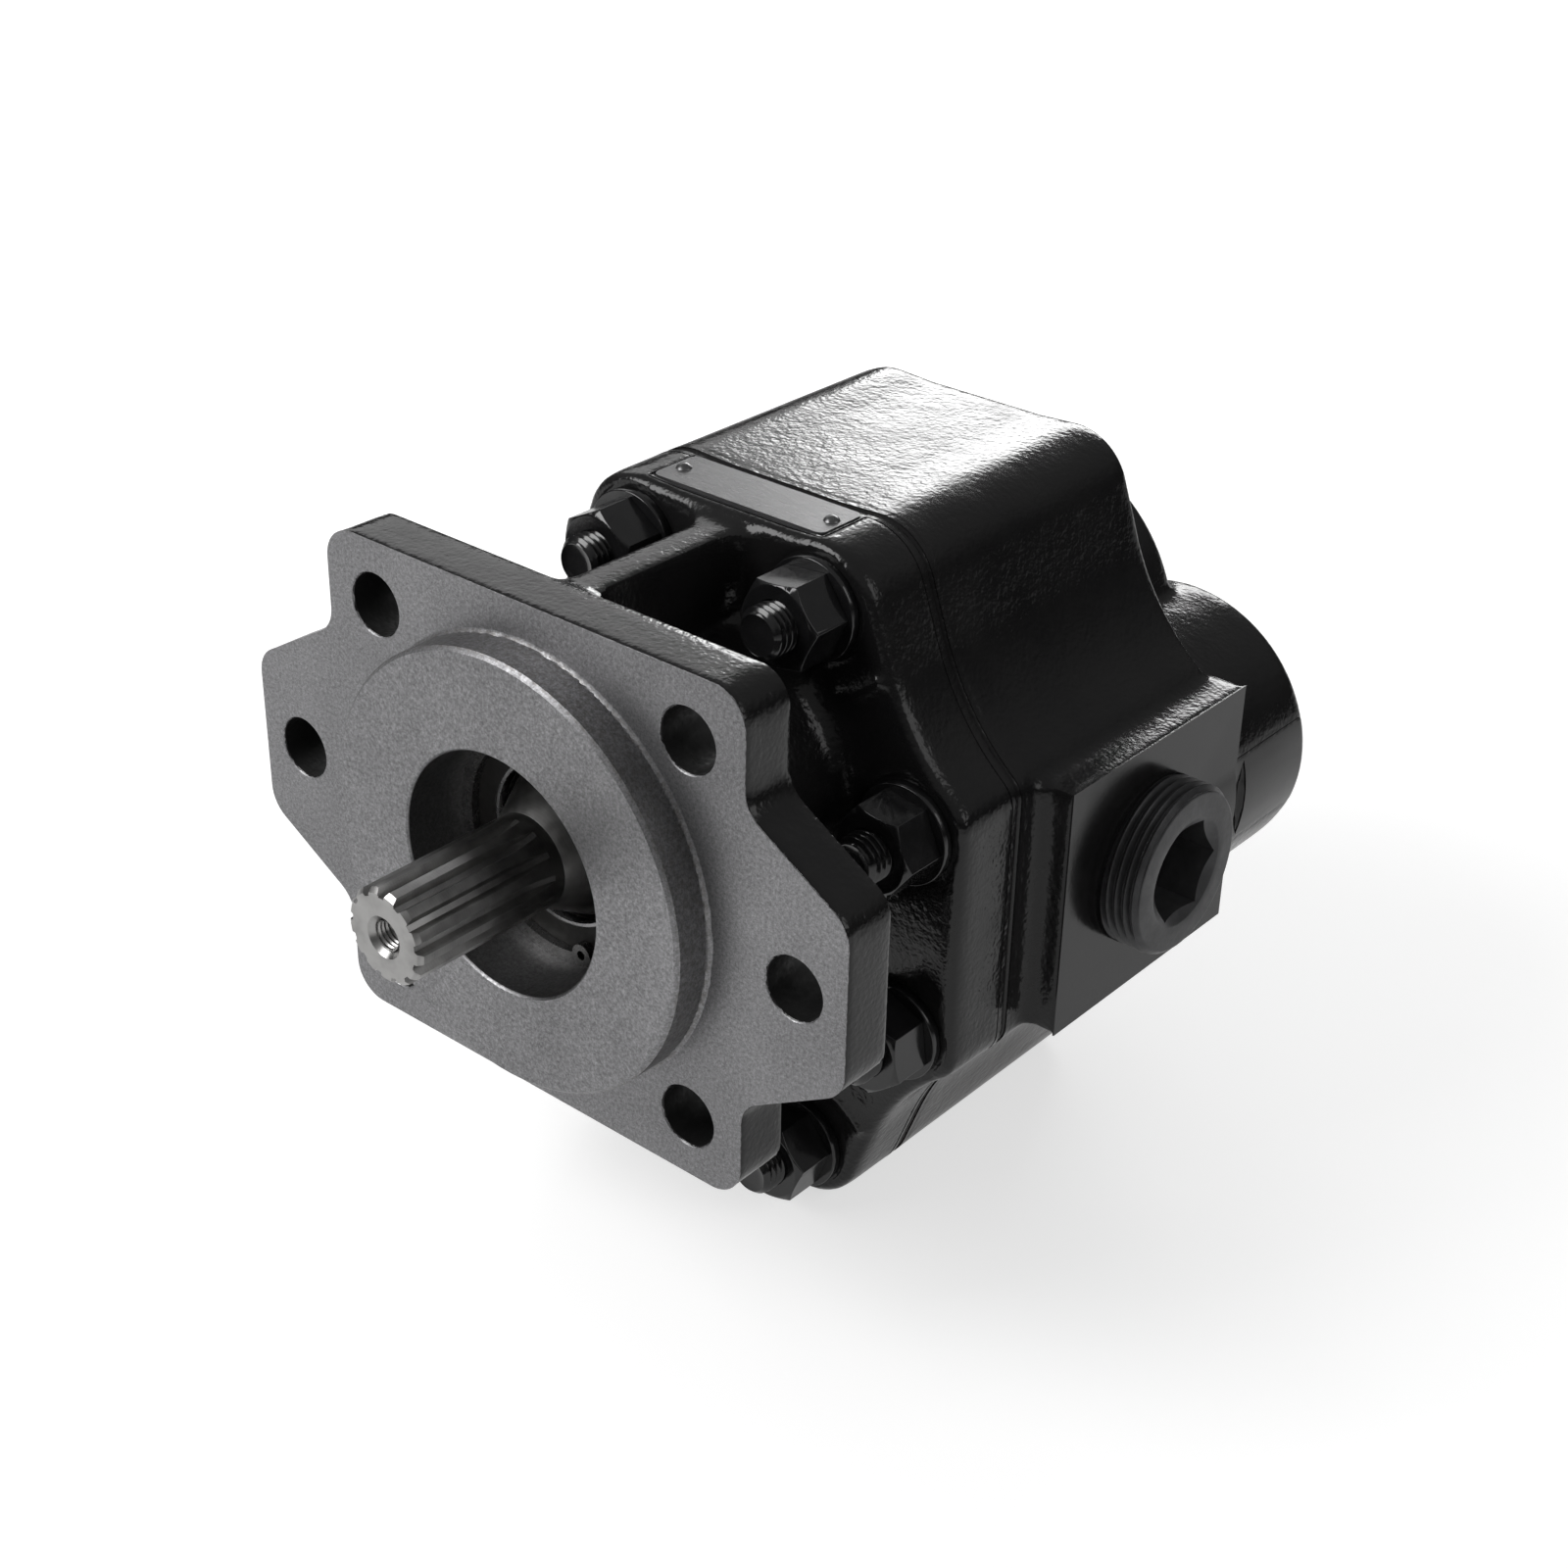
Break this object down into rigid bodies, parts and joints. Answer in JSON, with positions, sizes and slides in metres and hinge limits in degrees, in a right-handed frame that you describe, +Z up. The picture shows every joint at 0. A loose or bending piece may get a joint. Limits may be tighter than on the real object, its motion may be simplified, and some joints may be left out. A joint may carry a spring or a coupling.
{
  "type": "hydraulic gear pump",
  "caption": "Cast-iron external gear pump with a combined two and four bolt flange, splined drive shaft, plugged side ports and open rear ports.",
  "frame": {"origin": "on the drive shaft's axis, in the plane of the mounting flange's front face", "axes": "-Y points out of the splined shaft end, +Y to the rear ports, +Z up to the nameplate, +X to the side whose plug the picture shows"},
  "size_m": [0.173, 0.2331, 0.172],
  "materials": {
    "cover_casting": "gloss black paint over the casting, with a machined grey front face and pilot",
    "body_casting": "gloss black paint over a lightly rough casting",
    "shaft_steel": "ground and cut bare steel",
    "block_aluminium": "fine turned",
    "bush_metal": "smooth bearing surface",
    "seal_steel": "bright pressed steel",
    "seal_rubber": "smooth black rubber",
    "ring_steel": "spring steel",
    "backup_plastic": "smooth white plastic",
    "fastener_black": "gloss black paint",
    "plate_metal": "thin blank plate painted with the pump",
    "rivet_metal": "painted rivet head",
    "plug_steel": "satin black oxide"
  },
  "bodies": {
    "housing": {"front_cover": "cover_casting", "pump_body": "body_casting", "front_bearing_block": "block_aluminium", "rear_bearing_block": "block_aluminium", "front_bushes": "bush_metal", "rear_bushes": "bush_metal", "shaft_seal_case": "seal_steel", "shaft_seal_lip": "seal_rubber", "garter_spring": "seal_steel", "retaining_ring": "ring_steel", "joint_o_ring": "seal_rubber", "front_pressure_seal": "seal_rubber", "rear_pressure_seal": "seal_rubber", "front_backup_ring": "backup_plastic", "rear_backup_ring": "backup_plastic", "cover_studs": "fastener_black", "stud_nuts": "fastener_black", "stud_washers": "fastener_black", "dowel_pins": "ring_steel", "nameplate": "plate_metal", "nameplate_rivets": "rivet_metal", "right_port_plug": "plug_steel", "left_port_plug": "plug_steel"},
    "drive_gear": {"drive_gear_shaft": "shaft_steel"},
    "driven_gear": {"driven_gear_shaft": "shaft_steel"}
  },
  "joints": [
    {"name": "drive_spin", "type": "hinge", "parent": "housing", "child": "drive_gear", "pos_m": [0, 0, 0], "axis": [0, 1, 0], "continuous": true},
    {"name": "driven_spin", "type": "hinge", "parent": "housing", "child": "driven_gear", "pos_m": [0, 0, -0.0482], "axis": [0, 1, 0], "continuous": true}
  ],
  "couplings": [
    {"joint": "driven_spin", "follows": "drive_spin", "ratio": -1}
  ]
}
